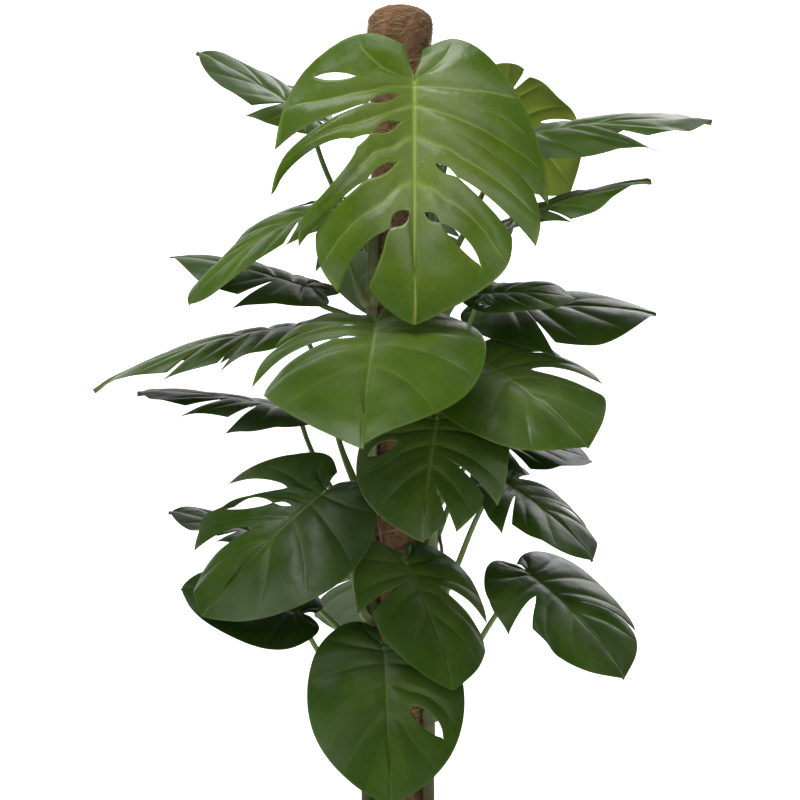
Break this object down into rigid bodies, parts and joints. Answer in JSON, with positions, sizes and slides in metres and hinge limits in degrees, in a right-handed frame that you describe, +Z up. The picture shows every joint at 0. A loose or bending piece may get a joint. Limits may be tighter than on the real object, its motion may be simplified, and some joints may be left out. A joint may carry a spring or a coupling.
{
  "type": "potted monstera plant",
  "caption": "Tall split-leaf climbing plant on a fibre-wrapped pole, rooted in soil in a plain dark round pot.",
  "frame": {"origin": "centre of the pot's flat underside, on the floor", "axes": "+Z up along the pole, -Y towards the front of the plant, +X to the right as seen from the front"},
  "size_m": [0.6184, 0.5106, 1.046],
  "materials": {
    "pot": "satin",
    "soil": "matte",
    "pole_core": "matte",
    "coir": "matte",
    "stem": "satin",
    "stalk": "satin",
    "air_root": "matte",
    "young_leaf": "satin",
    "leaf": "satin",
    "back_leaf": "satin"
  },
  "bodies": {
    "root": {"top_front_blade": "young_leaf", "top_front_stalk": "stalk", "crown_left_blade": "young_leaf", "crown_left_stalk": "stalk", "crown_right_blade": "back_leaf", "crown_right_stalk": "stalk", "long_right_blade": "young_leaf", "long_right_stalk": "stalk", "high_left_blade": "young_leaf", "high_left_stalk": "stalk", "high_right_blade": "leaf", "high_right_stalk": "stalk", "high_left_lower_blade": "leaf", "high_left_lower_stalk": "stalk", "right_small_blade": "leaf", "right_small_stalk": "stalk", "right_far_blade": "leaf", "right_far_stalk": "stalk", "middle_front_blade": "leaf", "middle_front_stalk": "stalk", "long_left_blade": "young_leaf", "long_left_stalk": "stalk", "right_big_blade": "leaf", "right_big_stalk": "stalk", "low_left_back_blade": "leaf", "low_left_back_stalk": "stalk", "centre_blade": "leaf", "centre_stalk": "stalk", "right_low_blade": "leaf", "right_low_stalk": "stalk", "left_big_blade": "leaf", "left_big_stalk": "stalk", "left_faint_blade": "leaf", "left_faint_stalk": "stalk", "low_centre_blade": "leaf", "low_centre_stalk": "stalk", "low_right_blade": "leaf", "low_right_stalk": "stalk", "left_dark_blade": "leaf", "left_dark_stalk": "stalk", "lowest_blade": "leaf", "lowest_stalk": "stalk", "right_inner_blade": "leaf", "right_inner_stalk": "stalk", "back_high_blade": "leaf", "back_high_stalk": "stalk", "back_middle_blade": "leaf", "back_middle_stalk": "stalk", "back_low_blade": "leaf", "back_low_stalk": "stalk", "pot": "pot", "pole_core": "pole_core", "pole_coir": "coir", "soil": "soil", "stem_left": "stem", "stem_right": "stem", "stem_back": "stem", "air_root_right": "air_root", "air_root_left": "air_root", "air_root_back": "air_root"}
  },
  "joints": []
}
